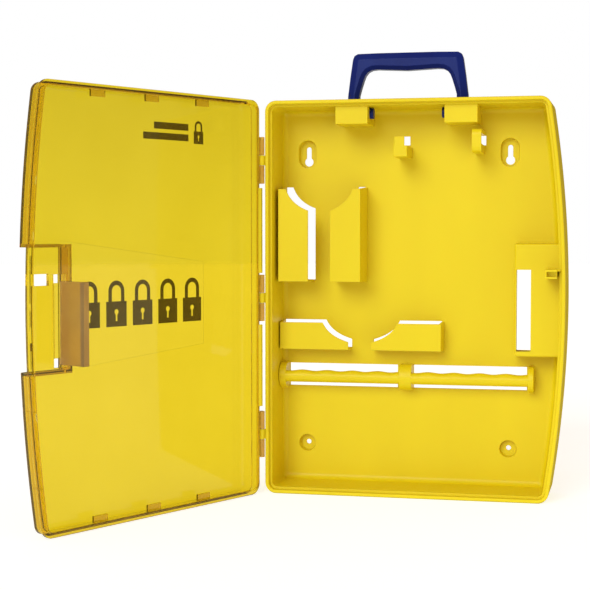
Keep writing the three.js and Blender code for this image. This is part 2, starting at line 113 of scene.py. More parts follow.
# The tray's rim and floor
RIM_LIP = 3.6
LEDGE_DEPTH = 6.0
TRAY_WALL = 6.0
WALL_LEAN = 0.8
SKIRT = 3.2
FLOOR_DEPTH = 55.0
FLOOR_THICKNESS = 2.5
FLOOR_FILLET = 6.0
BEHIND = FLOOR_DEPTH + 0.5

# Recesses for the wall screws: height, straight length, and radii of the cup, its mouth and its foot.
# The screw's recess is round. Its straight length is only there to give both recesses one shape.
FIXING_X = (32.5, 239.9)
KEYHOLE_HEIGHT = 344.0
SCREW_HEIGHT = 44.3
KEYHOLE_CUP = (KEYHOLE_HEIGHT, 9.9, 9.1, 9.5, 8.7)
SCREW_CUP = (SCREW_HEIGHT, 0.02, 8.5, 8.9, 7.9)
KEYHOLE_HEAD, KEYHOLE_DROP = 4.5, 7.7
KEYHOLE_SHANK, KEYHOLE_TRAVEL = 2.55, 10
SCREW_HOLE = 2.5

# The latch's window in the tray's floor: right, bottom and top
LATCH_WINDOW = (263.9, 145.0, 227.8)

# Openings as left, right, bottom and top
LATCH_SLOT = (248.9, 262.9, 146, 226.8)
STAPLE_WINDOW = (273.6, 289.4, 218.8, 228.8)
BLADE_SLOT = (254.2, 268, 147.4, 228.2)

# The dips along the padlock rail, the first one measured from the bar's end
SCALLOP_PITCH = 26.0
SCALLOP_DEPTH = 1.2
FIRST_SCALLOP = 16.5

# The handle's legs and bores, and how its edges fall away
LEG_CENTRE = 54.3
TRUNNION_BORE = 5.9
HANDLE_HALF_DEPTH = 9.0
EDGE_FALL = 4.2
OUTER_BEVEL, INNER_BEVEL = 6.2, 3.8

# The door: depths of its lip and face, insets of its edges from the case's outline, and its fittings
DOOR_LIP = -0.5
DOOR_FACE = DOOR_LIP - 16.0
DOOR_SKIN = 2.6
DOOR_RIM = 5.0
DOOR_HINGE_RIM = 12.0
DOOR_FLANGE = 2.0
FLANGE_THICKNESS = 3
DOOR_WALL = DOOR_HINGE_RIM - 3.0
FACE_ROUND = 4.0
HINGE_ROUND = 6.0
INNER_ROUND = 2.5
RECESS_LEFT, RECESS_BOTTOM, RECESS_TOP = 250.0, 144.5, 251.5
PAST_FREE_SIDE = CASE_WIDTH + 40
CATCH_CENTRES = (79.2, 146.1, 213.0)
CATCH_HALF_WIDTH = 8.6
RIB_HEIGHTS = (353.0, 286.0, 111.5, 44.5)
RIB_HALF_WIDTH = 0.35
STRIP_EDGE = -4.6
STRIP_SPANS = ((222.8, 308.0), (88.3, 170.8))

# The latch: its web, its blade's right face, and the barb's section as (across, depth)
WEB_LEFT, WEB_RIGHT, WEB_BOTTOM, WEB_TOP = 261.02, 267.7, 155.6, 220.7
BLADE_RIGHT = 261
BARB = [(260.5, 27.9), (263.5, 27.9), (261, 29.5), (260.5, 29.5)]

# The hinges
KNUCKLE_RADIUS = 2.75
PIN_RADIUS = 1.5
PIN_CLEARANCE = 0.12

# The label panel, which is sunk into the door's face, and how far the ink stands out from the face
LABEL_DEPTH = 0.3
LABEL_PANEL = [(66.0, 155.4), (247.0, 142.0), (247.0, 257.0), (66.0, 235.3)]
INK_FRONT, INK_BACK = 0.16, 0.02

# ---------------------------------------------------------------------------------------------
# Solids
# ---------------------------------------------------------------------------------------------


def solid(vertices, faces):
    """A closed mesh object, in millimetres, with its faces pointing out."""
    build = bmesh.new()
    made = [build.verts.new(vertex) for vertex in vertices]
    for face in faces:
        build.faces.new([made[i] for i in face])
    bmesh.ops.recalc_face_normals(build, faces=build.faces)
    mesh = bpy.data.meshes.new("solid")
    build.to_mesh(mesh)
    build.free()
    piece = bpy.data.objects.new("solid", mesh)
    bpy.context.scene.collection.objects.link(piece)
    return piece


def loft(rings):
    """A solid through rings of points, closed by a cap at each end."""
    count = len(rings[0])
    last = (len(rings) - 1) * count
    faces = []
    for here in range(0, last, count):
        there = here + count
        for i in range(count):
            j = (i + 1) % count
            faces.append((here + i, here + j, there + j, there + i))
    faces.append(tuple(range(count)))
    faces.append(tuple(range(last, last + count)))
    return solid([point for ring in rings for point in ring], faces)


def at_depth(outline, depth):
    """A front-view outline (x, height) as a ring at one depth."""
    return [(x, depth, z) for x, z in outline]


def slab(outline, front, back):
    """A front-view outline given thickness from front to back."""
    return loft([at_depth(outline, front), at_depth(outline, back)])


def block(x0, x1, front, back, z0, z1):
    """A box from its left, right, front, back, bottom and top."""
    return slab([(x0, z0), (x1, z0), (x1, z1), (x0, z1)], front, back)


def side_slab(outline, x0, x1):
    """A side-view outline (depth, height) given thickness from x0 to x1."""
    return loft([[(x, depth, z) for depth, z in outline] for x in (x0, x1)])


def arc(centre, radius, start, stop, steps):
    """Points on an arc, with its angles in degrees."""
    turns = [math.radians(start + (stop - start) * i / steps) for i in range(steps + 1)]
    return [(centre[0] + radius * math.cos(t), centre[1] + radius * math.sin(t)) for t in turns]


def rod(axis, radius, start, length, sides=40):
    """A round bar along x, y or z, from the middle of its first end."""
    circle = arc((0, 0), radius, 0, 360 * (sides - 1) / sides, sides - 1)
    rings = []
    for along in (0, length):
        if axis == "x":
            ring = [(along, a, b) for a, b in circle]
        elif axis == "y":
            ring = [(a, along, b) for a, b in circle]
        else:
            ring = [(a, b, along) for a, b in circle]
        rings.append([tuple(start[k] + point[k] for k in range(3)) for point in ring])
    return loft(rings)


def stadium(x, z, radius, straight, steps=16):
    """An upright slot with round ends."""
    top = arc((x, z + straight / 2), radius, 0, 180, steps)
    return top + arc((x, z - straight / 2), radius, 180, 360, steps)


def bezier(start, control, end, steps=14):
    """Points on a curve whose ends both aim at its control point."""
    points = []
    for i in range(steps + 1):
        t = i / steps
        a, b, c = (1 - t) ** 2, 2 * t * (1 - t), t * t
        points.append(tuple(a * start[k] + b * control[k] + c * end[k] for k in (0, 1)))
    return points


def apply_modifiers(piece):
    """Replaces a piece's mesh by what its modifiers make of it."""
    made = piece.evaluated_get(bpy.context.evaluated_depsgraph_get())
    mesh = bpy.data.meshes.new_from_object(made)
    old = piece.data
    piece.modifiers.clear()
    piece.data = mesh
    bpy.data.meshes.remove(old)


def combine(base, tools, operation):
    """Cuts, joins or intersects a piece with each tool in turn, and removes the tools."""
    for tool in tools:
        step = base.modifiers.new("combine", "BOOLEAN")
        step.operation = operation
        step.solver = "EXACT"
        step.object = tool
        apply_modifiers(base)
        mesh = tool.data
        bpy.data.objects.remove(tool)
        bpy.data.meshes.remove(mesh)
    return base


def cut(base, *tools):
    return combine(base, tools, "DIFFERENCE")


def join(base, *tools):
    return combine(base, tools, "UNION")


def common(base, *tools):
    return combine(base, tools, "INTERSECT")


def soften(piece, width, segments=3, angle=38):
    """Rounds every edge sharper than the angle."""
    step = piece.modifiers.new("soften", "BEVEL")
    step.width = width
    step.segments = segments
    step.limit_method = "ANGLE"
    step.angle_limit = math.radians(angle)
    step.use_clamp_overlap = False
    step.miter_outer = "MITER_ARC"
    apply_modifiers(piece)
    return piece


def moulding(name, piece, space, body, slot, material, *nodes):
    """Finishes a piece: names it, puts it in place, and lets it stand for its CAD nodes."""
    piece.name = name
    piece.data.name = name
    build = bmesh.new()
    build.from_mesh(piece.data)
    bmesh.ops.remove_doubles(build, verts=build.verts, dist=WELD)
    bmesh.ops.dissolve_degenerate(build, edges=build.edges, dist=WELD)
    bmesh.ops.recalc_face_normals(build, faces=build.faces)
    build.to_mesh(piece.data)
    build.free()
    piece.data.transform(space)
    piece.data.materials.clear()
    piece.data.materials.append(material)
    for face in piece.data.polygons:
        face.use_smooth = True
    piece.data.set_sharp_from_angle(angle=math.radians(SHARP_ANGLE))
    shading = piece.modifiers.new("shading", "WEIGHTED_NORMAL")
    shading.keep_sharp = True
    shading.weight = 80
    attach(piece, body)
    if nodes:
        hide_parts(*nodes)
    return piece


# ---------------------------------------------------------------------------------------------
# Materials
# ---------------------------------------------------------------------------------------------


class Nodes:
    """A short way to write a material's nodes."""

    def __init__(self, name):
        self.material = bpy.data.materials.new(name)
        self.material.use_nodes = True
        self.tree = self.material.node_tree
        self.shader = self.tree.nodes["Principled BSDF"]
        self.output = self.tree.nodes["Material Output"]
        self.place = self.add("ShaderNodeTexCoord").outputs["Object"]

    def add(self, kind, **values):
        node = self.tree.nodes.new(kind)
        for key, value in values.items():
            if key in node.inputs.keys():
                node.inputs[key].default_value = value
            else:
                setattr(node, key, value)
        return node

    def link(self, source, target):
        self.tree.links.new(source, target)

    def noise(self, scale, detail=4.0, roughness=0.55, stretch=None):
        node = self.add("ShaderNodeTexNoise", Scale=scale, Detail=detail, Roughness=roughness)
        place = self.place
        if stretch:
            mapping = self.add("ShaderNodeMapping")
            mapping.inputs["Scale"].default_value = stretch
            self.link(place, mapping.inputs["Vector"])
            place = mapping.outputs["Vector"]
        self.link(place, node.inputs["Vector"])
        return node.outputs["Fac"]

    def ramp(self, source, low, high, start=0.3, end=0.7):
        """Maps a pattern from start to end onto the values from low to high."""
        node = self.add("ShaderNodeMapRange")
        node.inputs["From Min"].default_value = start
        node.inputs["From Max"].default_value = end
        node.inputs["To Min"].default_value = low
        node.inputs["To Max"].default_value = high
        self.link(source, node.inputs["Value"])
        return node.outputs["Result"]

    def tint(self, source, low, high, start=0.3, end=0.7):
        """Blends two colours by a pattern."""
        node = self.add("ShaderNodeMix", data_type="RGBA")
        self.link(self.ramp(source, 0.0, 1.0, start, end), node.inputs[0])
        node.inputs[MIX_A].default_value = (*low, 1)
        node.inputs[MIX_B].default_value = (*high, 1)
        return node.outputs[MIX_RESULT]

    def bump(self, source, distance, strength=1.0, below=None):
        node = self.add("ShaderNodeBump", Distance=distance, Strength=strength)
        self.link(source, node.inputs["Height"])
        if below is not None:
            self.link(below, node.inputs["Normal"])
        return node.outputs["Normal"]

    def set(self, **values):
        for key, value in values.items():
            self.shader.inputs[key.replace("_", " ")].default_value = value


def yellow_plastic():
    """Opaque moulded yellow: a satin skin with faint flow marks."""
    n = Nodes("yellow_plastic")
    flow = n.noise(9.0, detail=3.0, stretch=(1.0, 1.0, 0.35))
    n.link(n.tint(flow, (0.735, 0.574, 0.006), (0.79, 0.630, 0.008)), n.shader.inputs["Base Color"])
    skin = n.noise(420.0, detail=2.0)
    n.link(n.ramp(skin, 0.36, 0.48), n.shader.inputs["Roughness"])
    waves = n.bump(n.noise(28.0, detail=1.0), 0.00025, 0.35)
    n.link(n.bump(n.noise(2600.0, detail=1.0), 0.000012, 0.5, below=waves), n.shader.inputs["Normal"])
    n.set(IOR=1.5, Specular_IOR_Level=0.22)
    n.set(Subsurface_Weight=0.12, Subsurface_Radius=(1.0, 0.55, 0.08), Subsurface_Scale=0.0025)
    return n.material


def shaded_textured_yellow():
    """The same yellow made darker, as painted shade, with the real coarse mould texture of the tray's
    outside.
    """
    n = Nodes("shaded_textured_yellow")
    flow = n.noise(9.0, detail=3.0, stretch=(1.0, 1.0, 0.35))
    # The base colour is darker than the yellow plastic's: painted shade on the outer walls and on the faces
    # below.
    n.link(n.tint(flow, (0.50, 0.39, 0.008), (0.56, 0.44, 0.010)), n.shader.inputs["Base Color"])
    n.link(n.ramp(n.noise(900.0, detail=2.0), 0.80, 0.95), n.shader.inputs["Roughness"])
    n.link(n.bump(n.noise(1400.0, detail=3.0), 0.00006, 0.9), n.shader.inputs["Normal"])
    n.set(IOR=1.5, Specular_IOR_Level=0.05)
    return n.material


def amber_plastic():
    """Clear amber: the colour comes from how far light goes through it."""
    n = Nodes("amber_plastic")
    n.link(n.tint(n.noise(12.0), (0.81, 0.660, 0.11), (0.84, 0.690, 0.13)), n.shader.inputs["Base Color"])
    n.link(n.ramp(n.noise(60.0, detail=3.0), 0.015, 0.06), n.shader.inputs["Roughness"])
    n.link(n.bump(n.noise(18.0, detail=1.0), 0.0002, 0.12), n.shader.inputs["Normal"])
    n.set(IOR=1.28, Transmission_Weight=0.94)
    volume = n.add("ShaderNodeVolumeAbsorption", Density=700.0)
    volume.inputs["Color"].default_value = (0.986, 0.955, 0.15, 1)
    n.link(volume.outputs["Volume"], n.output.inputs["Volume"])
    return n.material


def frosted_amber():
    """The latch blade's skin: the same amber with a coarse, frosted texture."""
    n = Nodes("frosted_amber")
    n.link(n.tint(n.noise(22.0), (0.62, 0.39, 0.10), (0.74, 0.50, 0.16)), n.shader.inputs["Base Color"])
    n.link(n.ramp(n.noise(300.0), 0.35, 0.50), n.shader.inputs["Roughness"])
    n.link(n.bump(n.noise(1500.0, detail=2.0), 0.00003, 0.6), n.shader.inputs["Normal"])
    n.set(IOR=1.42, Transmission_Weight=0.75)
    return n.material


def knuckle_amber():
    """Amber thick enough to look nearly solid."""
    n = Nodes("knuckle_amber")
    n.link(n.tint(n.noise(60.0), (0.80, 0.46, 0.05), (0.86, 0.54, 0.07)), n.shader.inputs["Base Color"])
    n.link(n.ramp(n.noise(200.0), 0.12, 0.22), n.shader.inputs["Roughness"])
    n.set(IOR=1.42, Transmission_Weight=0.45)
    return n.material


def blue_plastic():
    """Moulded dark blue with a fine grain."""
    n = Nodes("blue_plastic")
    n.link(n.tint(n.noise(30.0), (0.002, 0.010, 0.125), (0.003, 0.015, 0.155)), n.shader.inputs["Base Color"])
    n.link(n.ramp(n.noise(700.0, detail=3.0), 0.30, 0.42), n.shader.inputs["Roughness"])
    n.link(n.bump(n.noise(1800.0, detail=2.0), 0.00002, 0.5), n.shader.inputs["Normal"])
    n.set(IOR=1.5, Specular_IOR_Level=0.18)
    return n.material


def pin_steel():
    """Drawn steel wire, with its fine lines along the pin."""
    n = Nodes("pin_steel")
    lines = n.noise(900.0, detail=4.0, stretch=(1.0, 1.0, 0.02))
    n.link(n.tint(lines, (0.72, 0.71, 0.69), (0.88, 0.87, 0.85)), n.shader.inputs["Base Color"])
    n.link(n.ramp(lines, 0.22, 0.40), n.shader.inputs["Roughness"])
    n.link(n.bump(lines, 0.00002, 0.6), n.shader.inputs["Normal"])
    n.set(Metallic=1.0)
    return n.material


def printing_ink():
    """Screen-printed black ink."""
    n = Nodes("printing_ink")
    colour = n.tint(n.noise(300.0), (0.006, 0.005, 0.004), (0.014, 0.012, 0.010))
    n.link(colour, n.shader.inputs["Base Color"])
    n.link(n.ramp(n.noise(900.0), 0.35, 0.55), n.shader.inputs["Roughness"])
    return n.material


YELLOW = yellow_plastic()
SHADED_TEXTURED = shaded_textured_yellow()
AMBER = amber_plastic()
FROSTED = frosted_amber()
KNUCKLE = knuckle_amber()
BLUE = blue_plastic()
STEEL = pin_steel()
INK = printing_ink()


def yellow(name, piece, *nodes):
    return moulding(name, piece, STATION, "tray", "yellow_plastic", YELLOW, *nodes)


def amber(name, piece, body, *nodes, material=AMBER):
    return moulding(name, piece, DOOR, body, "amber_clear", material, *nodes)


# ---------------------------------------------------------------------------------------------
# Case outline that tray and door share
# ---------------------------------------------------------------------------------------------

ARC_RADIUS = ((CASE_HEIGHT / 2) ** 2 + SIDE_BULGE ** 2) / (2 * SIDE_BULGE)
ARC_CENTRE = CASE_WIDTH + SIDE_BULGE - ARC_RADIUS


def case_outline(inset, hinge_inset=None):
    """The case's front view, drawn in by an inset. The free side is one long arc."""
    middle = CASE_HEIGHT / 2
    corner = max(CORNER_RADIUS - inset, TIGHTEST_CORNER)
    bulge = ARC_RADIUS - inset
    top = CASE_HEIGHT - inset
    left = (inset if hinge_inset is None else hinge_inset) + corner
    right = ARC_CENTRE + math.sqrt((bulge - corner) ** 2 - (top - corner - middle) ** 2)
    turn = math.degrees(math.atan2(top - corner - middle, right - ARC_CENTRE))
    outline = arc((right, inset + corner), corner, -90, -turn, 12)
    outline += arc((ARC_CENTRE, middle), bulge, -turn, turn, 56)[1:-1]
    outline += arc((right, top - corner), corner, turn, 90, 12)
    outline += arc((left, top - corner), corner, 90, 180, 12)
    outline += arc((left, inset + corner), corner, 180, 270, 12)
    return outline


def case_ring(inset, depth, hinge_inset=None):
    """The case's outline at one depth."""
    return at_depth(case_outline(inset, hinge_inset), depth)


def case_slab(inset, front, back):
    """The case's outline given thickness."""
    return slab(case_outline(inset), front, back)


def sag(height):
    """How far the arc of the free side has come in from its widest point, at a height."""
    return ARC_RADIUS - math.sqrt(ARC_RADIUS ** 2 - (height - CASE_HEIGHT / 2) ** 2)


# ---------------------------------------------------------------------------------------------
# Rear tray
# ---------------------------------------------------------------------------------------------


def tray_shell():
    """The tray's wall and floor, from a profile (inset, depth) that runs round the outline."""
    foot = TRAY_WALL + WALL_LEAN
    rear = FLOOR_DEPTH + FLOOR_THICKNESS
    inside = arc((foot + FLOOR_FILLET, FLOOR_DEPTH - FLOOR_FILLET), FLOOR_FILLET, 90, 180, 9)
    inside += arc((TRAY_WALL - 0.6, LEDGE_DEPTH + 0.6), 0.6, 0, -90, 4)
    inside += arc((RIM_LIP + 0.4, LEDGE_DEPTH - 0.4), 0.4, 90, 180, 3)
    inside += arc((RIM_LIP - 0.9, 0.9), 0.9, 0, -90, 5)
    outside = arc((1.3, 1.3), 1.3, -90, -180, 6)
    outside += [(0, TRAY_DEPTH / 2)]
    outside += arc((1.1, TRAY_DEPTH - 1.1), 1.1, 180, 90, 4)
    behind = arc((SKIRT - 0.7, TRAY_DEPTH - 0.7), 0.7, 90, 0, 3)
    behind += arc((SKIRT + 1.2, rear + 1.2), 1.2, 180, 270, 4)
    rings = [case_ring(inset, depth) for inset, depth in inside]
    for inset, depth in outside:
        lean = FREE_SIDE_DRAFT * depth / TRAY_DEPTH
        rings.append([(x + (lean if x > CASE_WIDTH / 2 else 0), y, z) for x, y, z in case_ring(inset, depth)])
    rings += [case_ring(inset, depth) for inset, depth in behind]
    return loft(rings)


def fixing_cups():
    """The recesses that screws go through: two keyholes above and two round holes below."""
    cups, hollows = [], []
    for x in FIXING_X:
        for height, straight, cup, mouth, foot in (KEYHOLE_CUP, SCREW_CUP):
            cups.append(slab(stadium(x, height, cup + SKIN, straight), FLOOR_DEPTH + 1, TRAY_DEPTH))
            hollows.append(loft([at_depth(stadium(x, height, mouth, straight), FLOOR_DEPTH - 1),
                                 at_depth(stadium(x, height, foot, straight), TRAY_DEPTH - SKIN)]))
        shank = stadium(x, KEYHOLE_HEIGHT + 0.2, KEYHOLE_SHANK, KEYHOLE_TRAVEL)
        hollows.append(rod("y", KEYHOLE_HEAD, (x, FLOOR_DEPTH, KEYHOLE_HEIGHT - KEYHOLE_DROP), 20))
        hollows.append(slab(shank, FLOOR_DEPTH, TRAY_DEPTH + 1))
        hollows.append(rod("y", SCREW_HOLE, (x, FLOOR_DEPTH, SCREW_HEIGHT), 20))
    return cups, hollows


class Pocket:
    """A plate that stands in front of the floor, with walls on its outer side and its bottom.

    shoulder is the height of the open side, and flat the width of the straight top. draft is how far
    the walls lean out towards the floor, and rise how far the top does.
    """

    # How far past the plate's open sides the hollow behind it runs, and the window in the floor
    OPEN_REACH = 12
    WINDOW_REACH = 0.4

    def __init__(self, node, mirror, shoulder, flat, draft, rise):
        (self.left, self.front, self.bottom), (self.right, _, self.top) = extent(node)
        self.node = node
        self.mirror = mirror
        self.shoulder = self.bottom + shoulder
        self.flat = flat
        self.draft = draft
        self.rise = rise

    def outline(self, grow, rise, reach=0.0):
        """The plate's front view. grow moves the walled sides out; reach moves the open ones out."""
        sign = -1 if self.mirror else 1
        walled, opened = (self.right, self.left) if self.mirror else (self.left, self.right)
        walled -= sign * grow
        opened += sign * reach
        flat = (self.right if self.mirror else self.left) + sign * self.flat
        top, shoulder = self.top + rise + reach, self.shoulder + rise + reach
        control = (flat + 0.22 * (opened - flat), shoulder + 0.3 * (top - shoulder))
        curve = bezier((opened, shoulder), control, (flat, top))
        return [(walled, self.bottom - grow), (opened, self.bottom - grow), *curve, (walled, top)]

    def solid(self):
        outer = loft([at_depth(self.outline(0, 0), self.front),
                      at_depth(self.outline(self.draft, self.rise), BEHIND)])
        inner = loft([at_depth(self.outline(-SKIN, 0, self.OPEN_REACH), self.front + SKIN),
                      at_depth(self.outline(self.draft - SKIN, 0, self.OPEN_REACH), BEHIND + 2)])
        return soften(cut(outer, inner), 0.35, 2)

    def window(self):
        """The opening in the floor behind the plate."""
        rear = self.outline(self.draft - SKIN, self.rise, self.WINDOW_REACH)
        return loft([at_depth(rear, FLOOR_DEPTH - 1), at_depth(rear, TRAY_DEPTH)])


UPPER = {"shoulder": 71.6, "flat": 7.7, "draft": 1.6, "rise": 2.4}
LOWER = {"shoulder": 7.7, "flat": 44.5, "draft": 1.2, "rise": 1.5}
POCKETS = [
    Pocket("pocket_upper_left", False, **UPPER),
    Pocket("pocket_upper_right", True, **UPPER),
    Pocket("pocket_lower_left", False, **LOWER),
    Pocket("pocket_lower_right", True, **LOWER),
]


def floor_window(x0, x1, z0, z1):
    """An opening through the tray's floor."""
    return block(x0, x1, FLOOR_DEPTH - 1, TRAY_DEPTH, z0, z1)


def tray_windows():
    """Openings behind the features that stand on the floor, where the mould's core comes through.

    Each edge lies a little inside or outside its feature's own.
    """
    hook_low, hook_high = extent("tool_hook")
    loop_low, loop_high = extent("tag_loop")
    box_low, _ = extent("latch_box")
    left_low, left_high = extent("rail_bar_left")
    right_low, right_high = extent("rail_bar_right")
    middle = (left_low[2] + left_high[2]) / 2
    return [
        floor_window(left_low[0] + 0.2, left_high[0] - 3.3, middle - 11.6, middle + 11.8),
        floor_window(right_low[0] - 0.2, right_high[0] - 1.5, middle - 11.6, middle + 12.0),
        floor_window(hook_low[0] + 1.3, hook_high[0] - 2.3, hook_high[2] - 6.5, hook_high[2] + 2.5),
        floor_window(loop_low[0] + 0.6, loop_high[0] + 1.3, loop_low[2] + 9.1, loop_high[2] - 4.5),
        floor_window(box_low[0] + 0.9, *LATCH_WINDOW),
    ]


def handle_slots():
    """Slots in the top wall that the handle's legs go down through, with room for them to turn."""
    half_width, front, back = 7, 11.5, 42.5
    slots = []
    for socket in ("handle_socket_left", "handle_socket_right"):
        low, high = extent(socket)
        centre = (low[0] + high[0]) / 2
        slots.append(block(centre - half_width, centre + half_width, front, back,
                           CASE_HEIGHT - TRAY_WALL - 4, CASE_HEIGHT + 1))
    return slots


def shade_and_texture_outside(tray):
    """Gives the outer walls behind the lip, and the faces that look down at the bottom, a coarser skin and a
    darker colour that paints shade on them.
    """
    within = 0.8
    lip = 1.2
    edge = 3
    tray.data.materials.append(SHADED_TEXTURED)
    back = STATION.inverted()
    turn = back.to_3x3()
    for face in tray.data.polygons:
        x, depth, z = back @ face.center
        reach = math.hypot(x - ARC_CENTRE, z - CASE_HEIGHT / 2)
        side = x < within or reach > ARC_RADIUS - within
        level = z < within or z > CASE_HEIGHT - within
        # Faces that look down near the bottom get the darker colour as painted shade under the tray's edge.
        shaded_underside = z < edge and (turn @ face.normal).normalized()[2] < -0.25
        if shaded_underside or (side or level) and depth > lip:
            face.material_index = 1


def rear_tray():
    cups, hollows = fixing_cups()
    windows = [pocket.window() for pocket in POCKETS] + tray_windows()
    tray = cut(join(tray_shell(), *cups), *hollows, *windows, *handle_slots())
    shade_and_texture_outside(yellow("tray_moulding", soften(tray, 0.4, 2, 50), "rear_tray"))


# ---------------------------------------------------------------------------------------------
# Features that stand on the tray's floor
# ---------------------------------------------------------------------------------------------


def pockets():
    for pocket in POCKETS:
        yellow(f"{pocket.node}_moulding", pocket.solid(), pocket.node)


def tool_hook():
    """An arm that stands out from the floor, with an upturned tip."""
    low, high = extent("tool_hook")
    arm_top = high[2] - 8.9
    tip_foot = high[2] - 10
    arm = block(low[0], high[0], low[1], BEHIND, low[2], arm_top)
    tip = block(low[0] + 1, high[0] - 2.8, low[1], low[1] + SKIN, tip_foot, high[2])
    yellow("tool_hook_moulding", soften(join(arm, tip), 0.5, 3), "tool_hook")


def tag_loop():
    """A strap that stands off the floor on an upper and a lower foot."""
    low, high = extent("tag_loop")
    outer, upper, lower = 6, 4, 3
    upper_foot, lower_foot = 4.2, 8.6
    side = [(BEHIND, low[2]), (BEHIND, high[2])]
    side += arc((low[1] + outer, high[2] - outer), outer, 90, 180, 8)
    side += arc((low[1] + outer, low[2] + outer), outer, 180, 270, 8)
    strap = side_slab(side, low[0], high[0])
    eye = [(BEHIND + 1, low[2] + lower_foot), (BEHIND + 1, high[2] - upper_foot)]
    eye += arc((low[1] + SKIN + upper, high[2] - 8.2), upper, 90, 180, 6)
    eye += arc((low[1] + SKIN + lower, low[2] + 11.6), lower, 180, 270, 6)
    hole = side_slab(eye, low[0] - 1, high[0] + 1)
    yellow("tag_loop_moulding", soften(cut(strap, hole), 0.4, 2), "tag_loop")


def rail_bar(node):
    """A round bar whose top dips at an even pitch, so that each padlock keeps its own place."""
    low, high = extent(node)
    radius = (high[1] - low[1]) / 2
    depth = (high[1] + low[1]) / 2
    height = low[2] + radius
    start, stop = low[0] - 2, high[0] + 2
    steps, sides = 160, 36
    rings = []
    for i in range(steps + 1):
        x = start + (stop - start) * i / steps
        wave = 0.5 - 0.5 * math.cos(2 * math.pi * (x - low[0] - FIRST_SCALLOP) / SCALLOP_PITCH)
        ring = []
        for k in range(sides):
            turn = 2 * math.pi * k / sides
            up = math.sin(turn)
            dip = SCALLOP_DEPTH * wave * max(up, 0.0) ** 1.5
            ring.append((x, depth + radius * math.cos(turn), height + radius * up - dip))
        rings.append(ring)
    yellow(f"{node}_moulding", loft(rings), node)


def rail_post(node):
    """A U-shaped post, a little wider than the bar, that holds it off the floor."""
    low, high = extent(node)
    radius = (high[2] - low[2]) / 2
    height = (high[2] + low[2]) / 2
    side = [(BEHIND, height - radius), (BEHIND, height + radius)]
    side += arc((low[1] + radius, height), radius, 90, 270, 24)
    yellow(f"{node}_moulding", soften(side_slab(side, low[0], high[0]), 0.9, 4), node)


def handle_socket(node, side):
    """The box that a foot of the handle turns in. It is open at the back and at the top."""
    low, high = extent(node)
    _, depth, height = handle_pivot
    inward = high[0] - SKIN - 1 if side < 0 else low[0] - 1
    through = SKIN + 2
    shell = block(low[0], high[0], low[1], BEHIND, low[2], high[2] + 0.6)
    hollow = block(low[0] + SKIN, high[0] - SKIN, low[1] + SKIN, BEHIND + 1, low[2] + SKIN, high[2] + 2)
    bore = rod("x", TRUNNION_BORE, (inward, depth, height), through)
    mouth = block(inward, inward + through, depth - TRUNNION_BORE, depth + TRUNNION_BORE, height, high[2] + 2)
    yellow(f"{node}_moulding", soften(cut(shell, hollow, bore, mouth), 0.4, 2), node)


def latch_box():
    """The raised box beside the free wall that the latch blade hooks under."""
    low, high = extent("latch_box")
    draft = 0.8
    wall, wall_foot = 1.8, 0.8
    into_wall = high[0] + 4.0
    left, right, bottom, top = LATCH_SLOT
    front = [(low[0], low[2]), (into_wall, low[2]), (into_wall, high[2]), (low[0], high[2])]
    foot = [(low[0] - draft, low[2] - draft), (into_wall, low[2] - draft),
            (into_wall, high[2] + draft), (low[0] - draft, high[2] + draft)]
    shell = soften(loft([at_depth(front, low[1]), at_depth(foot, BEHIND)]), 1.8, 4)
    inside = [(low[0] + wall, low[2] + SKIN), (high[0], low[2] + SKIN),
              (high[0], high[2] - SKIN), (low[0] + wall, high[2] - SKIN)]
    inside_foot = [(low[0] + wall_foot, z) if x < high[0] else (x, z) for x, z in inside]
    hollow = loft([at_depth(inside, low[1] + SKIN), at_depth(inside_foot, BEHIND + 1)])
    slot = block(left, right, low[1] - 1, low[1] + SKIN + 1, bottom, top)
    yellow("latch_box_moulding", cut(shell, hollow, slot), "latch_box")


def padlock_staple():
    """A channel that comes through the closed door, with an eye for a sealing padlock."""
    low, high = extent("padlock_staple")
    right, foot, top = high[0] + 0.4, high[1] + 1.5, high[2] + 0.5
    web, lower, upper = 1.6, 1.9, 1.6
    channel_depth = 9
    channel = block(low[0], right, low[1], foot, low[2], top)
    hollow = block(low[0] + web, high[0] + 1, low[1] - 1, low[1] + channel_depth,
                   low[2] + lower, high[2] - upper)
    middle = (low[0] + high[0]) / 2 + 0.9
    eye = rod("z", 3.4, (middle, low[1] + 5.3, low[2] - 1), high[2] - low[2] + 3)
    behind_door_rib = 2.2
    gusset = block(high[0] - 2, high[0] + 3.5, behind_door_rib, foot, high[2] - upper, top)
    staple = soften(cut(join(channel, gusset), hollow, eye), 0.6, 3)
    yellow("padlock_staple_moulding", staple, "padlock_staple")


# ---------------------------------------------------------------------------------------------
# Carry handle
# ---------------------------------------------------------------------------------------------


def offset_loop(loop, distance):
    """A closed loop of points moved sideways, with mitred corners."""
    sharpest = 0.35
    moved = []
    for i, (x, z) in enumerate(loop):
        before, after = loop[i - 1], loop[(i + 1) % len(loop)]
        ax, az = x - before[0], z - before[1]
        bx, bz = after[0] - x, after[1] - z
        a, b = math.hypot(ax, az), math.hypot(bx, bz)
        nx, nz = az / a + bz / b, -ax / a - bx / b
        length = math.hypot(nx, nz)
        nx, nz = nx / length, nz / length
        reach = distance / max(nx * az / a - nz * ax / a, sharpest)
        moved.append((x + nx * reach, z + nz * reach))
    return moved


def handle_loop(centre, top):
    """The grip's front outline, and how many of its points lie on the outside."""
    outer = [
        (-LEG_CENTRE - 5.5, 386), (-LEG_CENTRE - 5.6, 399.5), (-57.6, 418), (-55.0, top - 6.0),
        (-53.4, top - 2.2), (-50, top - 0.4), (-30, top),
    ]
    inner = [
        (-LEG_CENTRE + 5.4, 386), (-LEG_CENTRE + 5.5, 400), (-47, 406.5), (-44.2, 415.5),
        (-42.4, 419.8), (-39.6, 423.3), (-35.6, 425.3), (-30, 425.8),
    ]
    underside_middle = (0, 424.4)
    loop = outer + [(-x, z) for x, z in reversed(outer)]
    loop += [(-x, z) for x, z in inner] + [underside_middle] + list(reversed(inner))
    return [(centre + x, z) for x, z in loop], 2 * len(outer)


